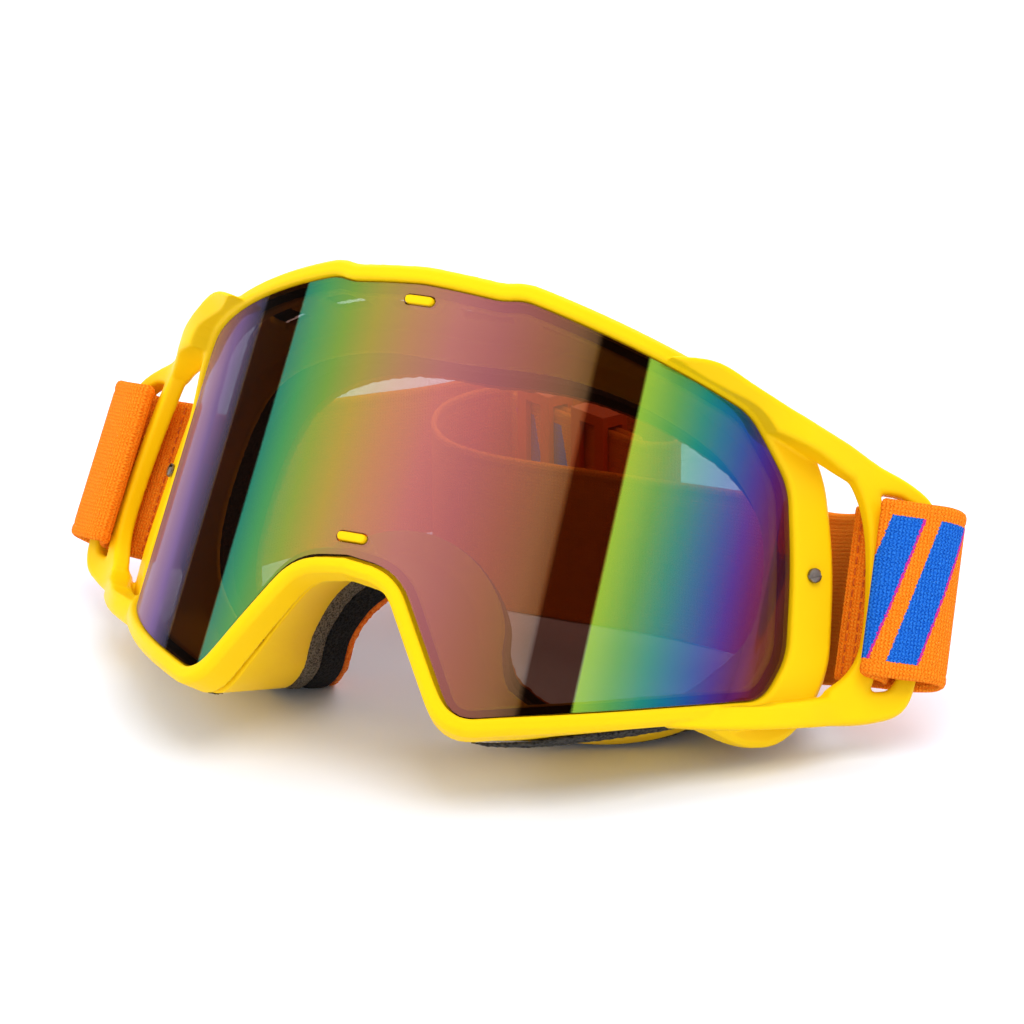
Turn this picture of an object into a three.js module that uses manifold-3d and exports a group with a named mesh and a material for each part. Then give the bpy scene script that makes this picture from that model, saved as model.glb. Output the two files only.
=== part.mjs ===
// Motocross goggles, resting on a table with the strap folded behind them.
// Millimetres, +Z up, +X to the wearer's left, the lens looking towards -Y. The goggles are drawn upright
// in their own frame (origin on the lens, y towards the face), and one group leans them back.
import * as THREE from 'three';
import { mergeVertices } from 'three/addons/utils/BufferGeometryUtils.js';
import Module from 'manifold-3d';

const wasm = await Module();
wasm.setup();

// ---------------------------------------------------------------- driving dimensions
const LEAN = THREE.MathUtils.degToRad(36);      // how far the goggles lean back at rest
const TABLE = -73;                              // the table under the goggles' own origin
const LENS_RADIUS = 80;
const LENS_THICKNESS = 1.0;
const LENS_GAP = 0.35;                          // lens edge to frame
const NOSE_GAP = 0.9;                           // wider at the nose, so that the lens lifts straight out
const RIM_WIDTH = 4.1;
const PLATE_WIDTH = 10.8;                       // side plates, where the screws are
const RIM_LIP = 0.9;                            // rim above the lens surface
const RIM_CROWN = 1.5;
const RIM_DEPTH = 6.2;
const LEDGE_TOP = -2.3;                         // seat for the lens seal
const LEDGE_WIDTH = 2.4;
const PEG = { length: 6.8, width: 1.9, proud: 0.8, top: 26.7, nose: -26.4 };
const CLEAR = 0.3;                              // between pieces that touch
const FOAM_GAP = 0.5;                           // between glued layers of soft foam
const WALL = 1.8;                               // face frame wall
const FLANGE = { wide: 7.2, narrow: 5.2 };      // foam seat, measured inwards, narrow round the nose lobes
const FOAM = { grey: 4.7, black: 8.4, fleece: 1.9, lowRise: 0.3 };
const NOSE_PINCH = { shift: 7, from: 5, to: 15 }; // the soft foam at the nose is pushed over to one side
const STRAP = { width: 38, thickness: 1.6 };
const SCREW = { arc: 103, height: -4.5, head: 3.2, shank: 1.8 };

// Half outlines run clockwise from the top centre to the nose centre: arc length, height, corner cut.
const LENS_OUTLINE = [
  [18, 29.4, 2.2], [22.5, 30.6, 2.2], [76.3, 22.3, 3.5], [91.3, 11.2, 4], [97.8, -4, 8], [102.3, -23, 4],
  [99.4, -33.4, 4], [79, -41.3, 12], [57.5, -50, 12], [31.2, -59.2, 5], [12.4, -31.6, 6.5],
];
const LENS_TOP = 30.2;
const LENS_NOSE = -30.2;

// Face frame, from the top centre to the nose centre: front arc and height, then its rear edge x, y, z.
const FACE_STATIONS = [
  [0, 31.0, 0, 30, 30.2], [22, 31.6, 24, 32.5, 30.8], [50, 27.8, 45, 40, 27.6], [74, 24.6, 61, 50, 20.5],
  [91, 14, 70.5, 58.5, 8.5], [100, 0, 74, 62.5, -7], [103.4, -20, 73, 63.5, -21],
  [100, -35.6, 67, 61.5, -32.5],
  [80, -43.4, 57.5, 60.5, -42], [59, -52, 47, 57, -47.6], [42, -58.6, 37.5, 52.5, -50.2],
  [30.2, -60.4, 29, 45, -51.2], [23.2, -52, 22.8, 38, -48], [17.6, -43, 20, 32.8, -41],
  [11.4, -35.2, 16, 31.2, -31.5], [5.5, -33.4, 8.5, 30.2, -25], [0, -33.2, 0, 30, -23],
];

// Outriggers: their sheet in plan, and the members drawn on it as arc, height, half width and depth behind.
const SHEET_PLAN = [
  [40, 8], [54, 18], [66, 28], [75, 38.5], [82, 50], [87.5, 58.5], [92.5, 62.5], [99, 65.8], [108, 69.5],
];
const SHEET_TILT = { x: -0.08, y: -0.12 };      // sideways and backwards shift for each millimetre of height
const OUTRIGGER_FRONT = 2;                      // how far every member stands in front of the sheet
const LOWER_SINK = { most: 4.4, from: 34, to: 64 }; // the lower arm comes down onto the rim
const ARM_RAMP = { drop: 3.6, from: 34, to: 54 }; // the arms' faces slope down to the rim, then level out
const OUTRIGGER_LOOP = [
  [18, 25, 1.8, 3], [28, 26, 2.8, 6], [36, 24.2, 3, 8], [45.4, 22.6, 2.9, 8.5], [56, 21.6, 2.8, 6],
  [65, 20.2, 3.2, 3.4], [72, 19, 2.9, 2.4], [79, 18.4, 1.9, 2], [84.3, 15.3, 1.8, 2], [85.3, 8, 1.8, 2],
  [85.4, -6, 1.8, 2], [84.9, -18, 1.9, 2], [82.6, -25.6, 2.6, 2], [77, -28.6, 3.1, 2.4], [69, -31.6, 3, 3.4],
  [60, -35.2, 2.7, 3.6], [50, -38.8, 2.6, 3.6], [40, -42, 2.4, 3.6], [30, -45, 1.8, 3],
];
const OUTRIGGER_BAR = [
  [67.6, 19.8, 3, 2], [71.4, 14.6, 2.5, 2], [73.6, 8, 2, 2], [75.2, -2.2, 1.9, 2], [75.9, -11.3, 1.9, 2],
  [75.6, -19, 2.2, 2], [73.6, -25.2, 3, 2], [69.4, -30.4, 3.4, 2],
];

// Strap ends around the outriggers, in the goggles' plan: from the sewn tail through the slot and back,
// with how far each place is lifted.
const STRAP_CENTRE = -4.2;
const STRAP_WRAP = [
  [83.6, 66.9], [87.8, 66.8], [92.2, 66.6], [95.3, 65], [96.1, 62.6], [95.2, 60.4], [93.2, 58.7],
  [93.2, 56.9],
  [96, 56.8], [101, 59.6, 0.8], [105.6, 63.8, 2], [107, 68.2, 2.4], [104.4, 71.2, 2], [98.8, 71, 1],
  [92.8, 69.3, 0.3], [87.4, 69.7], [82.6, 72.4],
];
// Strap behind the goggles, on the table: x, y, and height of its lower edge.
const FRONT_RUN = [
  [70, 69, 4], [56, 77.5, 1.2], [40, 81, 0.1], [20, 81.5, 0.1], [0, 81, 0.1], [-18, 81.5, 0.1],
  [-31, 86, 0.4],
  [-39.5, 95, 1], [-42.4, 106, 2], [-38.4, 116.4, 2.8],
];
const BACK_RUN = [
  [-76, 74, 4.5], [-71, 88, 3.2], [-63, 102, 2], [-54, 117, 1.2], [-45.5, 130.5, 1], [-36.5, 138.4, 1.2],
  [-27, 138.6, 2], [-16, 130.6, 3],
];

// The two straps lie side by side on one straight stretch, where the sliders hold them together.
const OVERLAP = { start: [-29, 119.5], end: [16, 98], foot: 3.2, spacing: 2.3, return: 10, tail: 46 };
const SLIDER = { length: 12, depth: 7.4, height: 44.4, slot: 39.2, wall: 1.5, bar: 3.2 };
const SLIDER_PLACES = { strap_slider_inner: 11.5, strap_slider_outer: 32 };

const SAMPLES = 116;                            // round the whole rim, even

const COLOURS = {
  frame: [0xf7d40b, 0.42, 0], lens: [0x7a5a8c, 0.06, 0.7], seal: [0x16130f, 0.9, 0],
  vent: [0x3c3936, 1, 0], grey: [0x55504a, 1, 0], black: [0x0c0b0c, 1, 0], fleece: [0xff7a2a, 1, 0],
  steel: [0x8b8780, 0.35, 0.95], clip: [0x39362f, 0.5, 0.6], strap: [0xf26a12, 0.9, 0],
  slider: [0xe8610c, 0.45, 0],
};

const assembly = new THREE.Group();
const goggles = new THREE.Group();              // everything that leans back with the frame
goggles.rotation.x = -LEAN;
assembly.add(goggles);

// ---------------------------------------------------------------- general shapes
function signedVolume(position, index) {
  const a = new THREE.Vector3();
  const b = new THREE.Vector3();
  const c = new THREE.Vector3();
  let volume = 0;
  for (let i = 0; i < index.length; i += 3) {
    a.fromBufferAttribute(position, index[i]);
    b.fromBufferAttribute(position, index[i + 1]);
    c.fromBufferAttribute(position, index[i + 2]);
    volume += a.dot(b.cross(c));
  }
  return volume;
}

// Skins equal rings of points. A closed loft joins its last ring to its first, an open one has end caps.
function loft(rings, closed) {
  const size = rings[0].length;
  const index = [];
  const last = closed ? rings.length : rings.length - 1;
  for (let i = 0; i < last; i += 1) {
    const next = (i + 1) % rings.length;
    for (let j = 0; j < size; j += 1) {
      const k = (j + 1) % size;
      const [a, b, c, d] = [i * size + j, next * size + j, next * size + k, i * size + k];
      const split = rings[i][j].distanceTo(rings[next][k]) < rings[next][j].distanceTo(rings[i][k]);
      index.push(...(split ? [a, b, c, a, c, d] : [a, b, d, b, c, d]));
    }
  }
  const cap = (ring, turn) => {
    for (let j = 1; j < size - 1; j += 1) {
      const fan = [ring * size, ring * size + j, ring * size + j + 1];
      index.push(...(turn ? fan : fan.reverse()));
    }
  };
  if (!closed) {
    cap(0, true);
    cap(rings.length - 1, false);
  }
  const geometry = new THREE.BufferGeometry().setFromPoints(rings.flat());
  if (signedVolume(geometry.attributes.position, index) < 0) index.reverse();
  geometry.setIndex(index);
  return geometry;
}

function toSolid(source) {
  const geometry = source.clone();
  geometry.deleteAttribute('normal');
  geometry.deleteAttribute('uv');
  const merged = mergeVertices(geometry, 1e-4);
  return new wasm.Manifold(new wasm.Mesh({
    numProp: 3,
    vertProperties: new Float32Array(merged.attributes.position.array),
    triVerts: new Uint32Array(merged.index.array),
  }));
}

function toGeometry(solid) {
  const mesh = solid.getMesh();
  const geometry = new THREE.BufferGeometry();
  geometry.setAttribute('position', new THREE.BufferAttribute(new Float32Array(mesh.vertProperties), 3));
  geometry.setIndex(new THREE.BufferAttribute(new Uint32Array(mesh.triVerts), 1));
  return geometry;
}

const join = (...geometries) => geometries.map(toSolid).reduce((sum, next) => sum.add(next));

function addPiece(parent, name, geometry, colour) {
  const [color, roughness, metalness] = COLOURS[colour];
  geometry.computeVertexNormals();
  const mesh = new THREE.Mesh(geometry, new THREE.MeshStandardMaterial({ color, roughness, metalness }));
  mesh.name = name;
  parent.add(mesh);
  return mesh;
}

const mirrored = (point) => new THREE.Vector3(-point.x, point.y, point.z);
const mirrorRings = (rings) => rings.map((ring) => ring.map(mirrored));
const smooth = (value, from, to) => THREE.MathUtils.smoothstep(value, from, to);

// A flat slab with round ends, length along x and its thickness along y.
function stadium(length, width, depth) {
  const shape = new THREE.Shape();
  const half = (length - width) / 2;
  shape.absarc(half, 0, width / 2, -Math.PI / 2, Math.PI / 2);
  shape.absarc(-half, 0, width / 2, Math.PI / 2, Math.PI * 1.5);
  const slab = new THREE.ExtrudeGeometry(shape, { depth, bevelEnabled: false, curveSegments: 8 });
  return slab.rotateX(Math.PI / 2);
}

// ---------------------------------------------------------------- the wrap of the lens
// In plan the front follows the lens cylinder, then flares outwards into the side plates.
const FLARE = THREE.MathUtils.degToRad(50);
const FLARE_FROM = 93;
const FLARE_TO = 104;
const WRAP_STEP = 0.5;

function headingAt(arc) {
  const round = Math.min(arc, FLARE_FROM) / LENS_RADIUS;
  return THREE.MathUtils.lerp(round, Math.min(round, FLARE), smooth(arc, FLARE_FROM, FLARE_TO));
}

const wrapTable = [new THREE.Vector2(0, 0)];
for (let arc = 0; arc < 130; arc += WRAP_STEP) {
  const heading = headingAt(arc + WRAP_STEP / 2);
  const step = new THREE.Vector2(Math.cos(heading), Math.sin(heading)).multiplyScalar(WRAP_STEP);
  wrapTable.push(wrapTable.at(-1).clone().add(step));
}

// The point at an arc length from the centre line, a height, and a distance in front of the lens surface.
function onWrap(arc, height, out) {
  const side = arc < 0 ? -1 : 1;
  const along = Math.abs(arc) / WRAP_STEP;
  const cell = Math.floor(along);
  const plan = wrapTable[cell].clone().lerp(wrapTable[cell + 1], along - cell);
  const heading = headingAt(Math.abs(arc));
  const across = plan.x + Math.sin(heading) * out;
  return new THREE.Vector3(side * across, plan.y - Math.cos(heading) * out, height);
}

// ---------------------------------------------------------------- lens outline
function halfOutline(corners, top, nose, count) {
  const path = new THREE.Path();
  const points = [[0, top, 0], ...corners, [0, nose, 0]].map(([x, y]) => new THREE.Vector2(x, y));
  path.moveTo(0, top);
  corners.forEach(([, , cut], i) => {
    const corner = points[i + 1];
    const enter = corner.clone().add(points[i].clone().sub(corner).setLength(cut));
    const leave = corner.clone().add(points[i + 2].clone().sub(corner).setLength(cut));
    path.lineTo(enter.x, enter.y);
    path.quadraticCurveTo(corner.x, corner.y, leave.x, leave.y);
  });
  path.lineTo(0, nose);
  return path.getSpacedPoints(count);
}

const lensHalf = halfOutline(LENS_OUTLINE, LENS_TOP, LENS_NOSE, SAMPLES / 2);
const lensLoop = [...lensHalf, ...lensHalf.slice(1, -1).reverse().map((p) => new THREE.Vector2(-p.x, p.y))];
const lensNormals = lensLoop.map((point, i) => {
  const before = lensLoop.at(i - 1);
  const after = lensLoop[(i + 1) % lensLoop.length];
  const along = after.clone().sub(before).normalize();
  return new THREE.Vector2(-along.y, along.x);
});

// A ring round the lens: each section point is an offset from the lens edge and a height over the lens.
function lensRing(section) {
  return loft(lensLoop.map((edge, i) => section(edge).map(([offset, out]) => {
    const at = edge.clone().addScaledVector(lensNormals[i], offset);
    return onWrap(at.x, at.y, out);
  })), true);
}

function rimWidth({ x, y }) {
  const beside = smooth(Math.abs(x), 68, 92) * smooth(y, -42, -33);
  return THREE.MathUtils.lerp(RIM_WIDTH, PLATE_WIDTH, beside);
}

function atNose({ x, y }) {
  return (1 - smooth(Math.abs(x), 26, 32)) * (1 - smooth(y, -30, -26));
}

// ---------------------------------------------------------------- outriggers
const sheetCurve = new THREE.CatmullRomCurve3(SHEET_PLAN.map(([x, y]) => new THREE.Vector3(x, y, 0)));
const sheetLength = sheetCurve.getLength();

function onSheet(arc, height, out) {
  const u = THREE.MathUtils.clamp(arc / sheetLength, 0, 1);
  const point = sheetCurve.getPointAt(u);
  const along = sheetCurve.getTangentAt(u);
  return new THREE.Vector3(
    point.x + SHEET_TILT.x * height + along.y * out,
    point.y + SHEET_TILT.y * height - along.x * out,
    height,
  );
}

// A bar with a rounded section, drawn on the outrigger sheet.
function sheetMember(rows, count) {
  const line = new THREE.CatmullRomCurve3(rows.map(([arc, height]) => new THREE.Vector3(arc, height, 0)));
  const size = new THREE.CatmullRomCurve3(rows.map(([, , half, back]) => new THREE.Vector3(half, back, 0)));
  const corner = 0.68;
  const section = [
    [1, corner], [corner, 1], [-corner, 1], [-1, corner],
    [-1, -corner], [-corner, -1], [corner, -1], [1, -corner],
  ];
  const rings = [];
  for (let i = 0; i <= count; i += 1) {
    const at = line.getPoint(i / count);
    const along = line.getTangent(i / count);
    const across = new THREE.Vector2(-along.y, along.x).normalize();
    const { x: half, y: back } = size.getPoint(i / count);
    const sink = at.y < 0 ? LOWER_SINK.most * (1 - smooth(at.x, LOWER_SINK.from, LOWER_SINK.to)) : 0;
    const ramp = ARM_RAMP.drop * (1 - smooth(at.x, ARM_RAMP.from, ARM_RAMP.to));
    rings.push(section.map(([w, d]) => onSheet(
      at.x + across.x * half * w,
      at.y + across.y * half * w,
      (d > 0 ? OUTRIGGER_FRONT * d - (w < 0 ? ramp : 0) : back * d) - sink,
    )));
  }
  return rings;
}

// ---------------------------------------------------------------- outer frame
function screwHole(side) {
  const hole = new THREE.CylinderGeometry(SCREW.shank / 2 + 0.2, SCREW.shank / 2 + 0.2, 14, 16);
  return placeOnPlate(hole, side, 0);
}

// Turns a shape whose axis is +Y so that it stands on a side plate, at a distance in front of it.
function placeOnPlate(geometry, side, out) {
  const foot = onWrap(side * SCREW.arc, SCREW.height, 0);
  const tip = onWrap(side * SCREW.arc, SCREW.height, 1);
  const way = tip.sub(foot).normalize();
  const turn = new THREE.Quaternion().setFromUnitVectors(new THREE.Vector3(0, 1, 0), way);
  const shift = new THREE.Vector3(0, out, 0).applyQuaternion(turn).add(foot);
  return geometry.applyQuaternion(turn).translate(shift.x, shift.y, shift.z);
}

function makeOuterFrame() {
  const rim = lensRing((edge) => {
    const width = rimWidth(edge);
    const wall = THREE.MathUtils.lerp(LENS_GAP, NOSE_GAP, atNose(edge));
    const depth = THREE.MathUtils.lerp(RIM_DEPTH, 3.6, smooth(width, 5, PLATE_WIDTH));
    return [
      [wall, RIM_LIP], [wall + 0.9, RIM_CROWN], [width - 1.1, RIM_CROWN - 0.2], [width, 0.2],
      [width, -depth], [width - 2.2, -depth], [Math.min(width - 2.6, 0.2), -4.3], [-LEDGE_WIDTH, -4.1],
      [-LEDGE_WIDTH, LEDGE_TOP], [wall, LEDGE_TOP],
    ];
  });
  const loopRings = sheetMember(OUTRIGGER_LOOP, 54);
  const barRings = sheetMember(OUTRIGGER_BAR, 14);
  const members = [loopRings, barRings].flatMap((rings) => (
    [loft(rings, false), loft(mirrorRings(rings), false)]
  ));
  const outriggers = join(...members).subtract(lensSlab(9, -RIM_DEPTH - 4, LENS_GAP + 0.5));
  const parts = [rim];
  const deep = LEDGE_WIDTH - LEDGE_TOP;
  [PEG.top, PEG.nose].forEach((height) => {
    const peg = stadium(PEG.length, PEG.width, deep + PEG.proud);
    parts.push(peg.translate(0, deep, height));
    const inner = Math.sign(height) * (Math.abs(height) - 2.2);
    const outer = Math.sign(height) * 31.5;
    const tab = new THREE.BoxGeometry(PEG.length + 3, 1.8, Math.abs(outer - inner));
    parts.push(tab.translate(0, 3.4, (inner + outer) / 2));
  });
  let body = join(...parts).add(outriggers);
  [-1, 1].forEach((side) => {
    body = body.subtract(toSolid(screwHole(side)));
  });
  addPiece(goggles, 'outer_frame', toGeometry(body), 'frame');
}

// ---------------------------------------------------------------- lens and its seal
// The lens outline as a slab between two distances from the lens surface, grown by a margin all round.
function lensSlab(front, back, grow) {
  const rightmost = lensHalf.reduce((best, p, i) => (p.x > lensHalf[best].x ? i : best), 0);
  const topEdge = lensHalf.slice(0, rightmost + 1);
  const bottomEdge = lensHalf.slice(rightmost).reverse();
  const heightAt = (edge, arc) => {
    const i = Math.max(1, edge.findIndex((p) => p.x >= arc));
    const part = (arc - edge[i - 1].x) / (edge[i].x - edge[i - 1].x);
    return THREE.MathUtils.lerp(edge[i - 1].y, edge[i].y, part);
  };
  const columns = 46;
  const reach = lensHalf[rightmost].x - 0.02 + grow;
  const rings = [];
  for (let j = -columns; j <= columns; j += 1) {
    const arc = reach * Math.sin((Math.PI / 2) * (j / columns));
    const within = Math.min(Math.abs(arc), reach - grow);
    const top = heightAt(topEdge, within) + grow;
    const bottom = heightAt(bottomEdge, within) - grow;
    const corners = [[top, front], [bottom, front], [bottom, back], [top, back]];
    rings.push(corners.map(([height, out]) => onWrap(arc, height, out)));
  }
  return toSolid(loft(rings, false));
}

function makeLens() {
  let body = lensSlab(0, -LENS_THICKNESS, 0);
  [PEG.top, PEG.nose].forEach((height) => {
    const slot = stadium(PEG.length + 2 * LENS_GAP, PEG.width + 2 * LENS_GAP, 12);
    body = body.subtract(toSolid(slot.translate(0, 6, height)));
  });
  addPiece(goggles, 'lens', toGeometry(body), 'lens');
}

function makeLensSeal() {
  const outer = -0.15;
  const inner = -1.75;
  const seal = lensRing(() => [
    [inner, LEDGE_TOP + CLEAR], [inner, -LENS_THICKNESS - CLEAR], [outer, -LENS_THICKNESS - CLEAR],
    [outer, LEDGE_TOP + CLEAR],
  ]);
  addPiece(goggles, 'lens_seal', seal, 'seal');
}

// ---------------------------------------------------------------- face frame and foams
function closedCurve(points) {
  const whole = [...points, ...points.slice(1, -1).reverse().map(mirrored)];
  return new THREE.CatmullRomCurve3(whole, true, 'centripetal');
}

const FACE_GAP = RIM_DEPTH + CLEAR;
const faceMiddle = -FACE_GAP - WALL / 2;
const faceFront = closedCurve(FACE_STATIONS.map(([arc, height]) => onWrap(arc, height, faceMiddle)));
const faceRear = closedCurve(FACE_STATIONS.map(([, , x, y, z]) => new THREE.Vector3(x, y, z)));
const FACE_SAMPLES = 92;

// Local directions of the face frame at a share of its loop: outwards from the eyes, and along the wall.
function faceFrameAt(turns) {
  const share = turns - Math.floor(turns);
  const front = faceFront.getPoint(share);
  const rear = faceRear.getPoint(share);
  const depth = rear.clone().sub(front).normalize();
  const out = depth.clone().cross(faceRear.getTangent(share)).normalize().negate();
  const inwards = new THREE.Vector3(0, 1, 0).cross(faceRear.getTangent(share)).normalize();
  if (inwards.dot(out) > 0) inwards.negate();
  const nearLobe = (1 - smooth(Math.abs(rear.x), 30, 44)) * (1 - smooth(rear.z, -44, -34));
  const seat = THREE.MathUtils.lerp(FLANGE.wide, FLANGE.narrow, nearLobe);
  return { front, rear, out, inwards, seat };
}

const faceStations = [];
for (let i = 0; i < FACE_SAMPLES; i += 1) faceStations.push(faceFrameAt(i / FACE_SAMPLES));

function makeFaceFrame() {
  const rings = faceStations.map(({ front, rear, out, inwards, seat }) => {
    const lip = rear.clone().addScaledVector(inwards, seat);
    const step = new THREE.Vector3(0, -WALL, 0);
    return [
      front.clone().addScaledVector(out, WALL / 2),
      rear.clone(),
      lip.clone(),
      lip.clone().add(step),
      rear.clone().addScaledVector(inwards, WALL * 1.1).add(step),
      front.clone().addScaledVector(out, -WALL / 2),
    ];
  });
  let body = toSolid(loft(rings, true));
  [-1, 1].forEach((side) => {
    const slot = new THREE.BoxGeometry(7, 6.6, 13.5);
    slot.rotateY(-side * THREE.MathUtils.degToRad(27.5));
    body = body.subtract(toSolid(slot.translate(side * 20.2, 9.2, -43.3)));
  });
  [9, 27, 45].forEach((x) => [-1, 1].forEach((side) => {
    const window = new THREE.BoxGeometry(11, 7, 16);
    window.rotateZ(side * Math.asin(x / LENS_RADIUS));
    body = body.subtract(toSolid(window.translate(side * x, 13.2 + 0.006 * x * x, 30)));
  }));
  addPiece(goggles, 'face_frame', toGeometry(body), 'frame');
}

// Foam never reaches below the table: what would is pressed flat against it.
function pressedFlat(point) {
  const height = point.z * Math.cos(LEAN) - point.y * Math.sin(LEAN);
  if (height < TABLE) point.z += (TABLE - height) / Math.cos(LEAN);
  return point;
}

// One layer of the face foam: a ring on the rear flange, between two depths.
function makeFaceLayer(name, from, to, colour, inset) {
  const rings = faceStations.map(({ rear, inwards, seat }) => {
    const rise = THREE.MathUtils.lerp(FOAM.lowRise, 0.03, smooth(rear.z, -48, -25));
    const inward = -0.2 * Math.sign(rear.x) * smooth(Math.abs(rear.x), 0, 14);
    const lean = new THREE.Vector3(inward, 1, rise).normalize();
    const pinch = NOSE_PINCH.shift * smooth(rear.x, -9, 3) * (1 - smooth(rear.x, 14, 24));
    const edge = (depth, across) => {
      const point = rear.clone().addScaledVector(lean, depth).addScaledVector(inwards, across);
      point.x -= pinch * (1 - smooth(rear.z, -34, -14)) * smooth(depth, NOSE_PINCH.from, NOSE_PINCH.to);
      return pressedFlat(point);
    };
    return [edge(from, inset), edge(to, inset + 0.4), edge(to, seat - 0.4), edge(from, seat)];
  });
  return addPiece(goggles, name, loft(rings, true), colour);
}

// A strip of open-cell foam along the outside of the wall, between two shares of the loop.
function makeVentFoam(name, from, to, far, thick) {
  const count = 30;
  const rings = [];
  for (let i = 0; i <= count; i += 1) {
    const { front, rear, out } = faceFrameAt(THREE.MathUtils.lerp(from, to, i / count));
    const edge = (depth, off) => front.clone().lerp(rear, depth).addScaledVector(out, WALL / 2 + off);
    rings.push([edge(0.08, CLEAR), edge(0.08, CLEAR + thick), edge(far, CLEAR + thick), edge(far, CLEAR)]);
  }
  addPiece(goggles, name, loft(rings, false), 'vent');
}

// ---------------------------------------------------------------- screws and their clips
function makeSideScrew(name, side) {
  const head = new THREE.CylinderGeometry(SCREW.head / 2, SCREW.head / 2, 1, 20).translate(0, 0.5, 0);
  const shank = new THREE.CylinderGeometry(SCREW.shank / 2, SCREW.shank / 2, 8, 16).translate(0, -3.6, 0);
  const slot = new THREE.BoxGeometry(0.6, 0.6, 4).translate(0, 1, 0);
  const body = join(head, shank).subtract(toSolid(slot));
  addPiece(goggles, name, placeOnPlate(toGeometry(body), side, RIM_CROWN + CLEAR), 'steel');
}

function makeScrewClip(name, side) {
  const plate = new THREE.BoxGeometry(4.6, 1.2, 17).translate(side * 1.6, 0, -4.5);
  const tail = new THREE.BoxGeometry(1.2, 2.4, 5).translate(side * 6.4, 0, -10.2);
  const bridge = new THREE.BoxGeometry(5, 1.2, 3).translate(side * 4, 0, -10.2);
  const hole = new THREE.CylinderGeometry(SCREW.shank / 2 + 0.1, SCREW.shank / 2 + 0.1, 6, 16);
  const body = join(plate, tail, bridge).subtract(toSolid(hole));
  const heading = headingAt(SCREW.arc);
  const clip = toGeometry(body).rotateZ(side * heading);
  const foot = onWrap(side * SCREW.arc, SCREW.height, -5.4);
  addPiece(goggles, name, clip.translate(foot.x, foot.y, foot.z), 'clip');
}

// ---------------------------------------------------------------- strap
const up = new THREE.Vector3(0, 0, 1);
const strapTilt = new THREE.Vector3(SHEET_TILT.x, SHEET_TILT.y, 1).normalize();

// Each station is a centre point and the direction of the strap's width, in the world.
function strapStations(side, run) {
  const leanMatrix = new THREE.Matrix4().makeRotationX(-LEAN).setPosition(0, 0, -TABLE);
  const width = strapTilt.clone();
  width.x *= side;
  width.transformDirection(leanMatrix);
  const stations = STRAP_WRAP.map(([x, y, lift = 0]) => ({
    centre: new THREE.Vector3(side * x, y, STRAP_CENTRE + lift).applyMatrix4(leanMatrix),
    width,
  }));
  run.forEach(([x, y, foot], i) => {
    const turned = width.clone().lerp(up, smooth(i, -1, 3)).normalize();
    stations.push({ centre: new THREE.Vector3(x, y, foot + (STRAP.width / 2) * turned.z), width: turned });
  });
  return stations;
}

function makeWebbing(name, side, run) {
  const stations = strapStations(side, run);
  const centre = new THREE.CatmullRomCurve3(stations.map((s) => s.centre), false, 'centripetal');
  const tilt = new THREE.CatmullRomCurve3(stations.map((s) => s.width), false, 'centripetal');
  const spans = stations.length - 1;
  const perSpan = 5;
  const rings = [];
  for (let i = 0; i <= spans * perSpan; i += 1) {
    const share = i / (spans * perSpan);
    const at = centre.getPoint(share);
    const width = tilt.getPoint(share).normalize();
    const face = centre.getTangent(share).cross(width).normalize();
    const corner = (w, f) => at.clone().addScaledVector(width, w * STRAP.width / 2)
      .addScaledVector(face, f * STRAP.thickness / 2);
    rings.push([corner(-1, -1), corner(1, -1), corner(1, 1), corner(-1, 1)]);
  }
  addPiece(assembly, name, loft(rings, false), 'strap');
}

// A point on the overlap: a distance along it, and a distance behind the front run's centre line.
const overlapStart = new THREE.Vector2(...OVERLAP.start);
const overlapAlong = new THREE.Vector2(...OVERLAP.end).sub(overlapStart).normalize();
function onOverlap(along, behind) {
  const at = overlapStart.clone().addScaledVector(overlapAlong, along);
  at.add(new THREE.Vector2(-overlapAlong.y, overlapAlong.x).multiplyScalar(behind));
  return [at.x, at.y, OVERLAP.foot];
}

function frontRun() {
  return [...FRONT_RUN, ...[-4, 0, 6, 12, 24, 36, OVERLAP.tail].map((along) => onOverlap(along, 0))];
}

// Runs past the overlap, turns round the front run's end, and comes back along its other side.
function backRun() {
  const behind = OVERLAP.return;
  const away = [12, 26, 40].map((along) => onOverlap(along, behind));
  const turn = [[48, behind - 1], [53.5, 4], [50, -1.2]].map(([along, out]) => onOverlap(along, out));
  const home = [42, 30, 18, 6, 1].map((along) => onOverlap(along, -OVERLAP.spacing));
  return [...BACK_RUN, ...away, ...turn, ...home];
}

// A loop that holds both strap layers: two bars on each face, and a rail over and under.
function makeSlider(name, along) {
  const { depth } = SLIDER;
  const body = toSolid(new THREE.BoxGeometry(SLIDER.length, depth, SLIDER.height))
    .subtract(toSolid(new THREE.BoxGeometry(SLIDER.length + 2, depth - 2 * SLIDER.wall, SLIDER.slot)))
    .subtract(toSolid(new THREE.BoxGeometry(SLIDER.length - 2 * SLIDER.bar, depth + 2, SLIDER.slot)));
  const slider = addPiece(assembly, name, toGeometry(body), 'slider');
  const [x, y] = onOverlap(along, -OVERLAP.spacing / 2);
  slider.position.set(x, y, SLIDER.height / 2);
  slider.rotation.z = Math.atan2(overlapAlong.y, overlapAlong.x);
}

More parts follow.
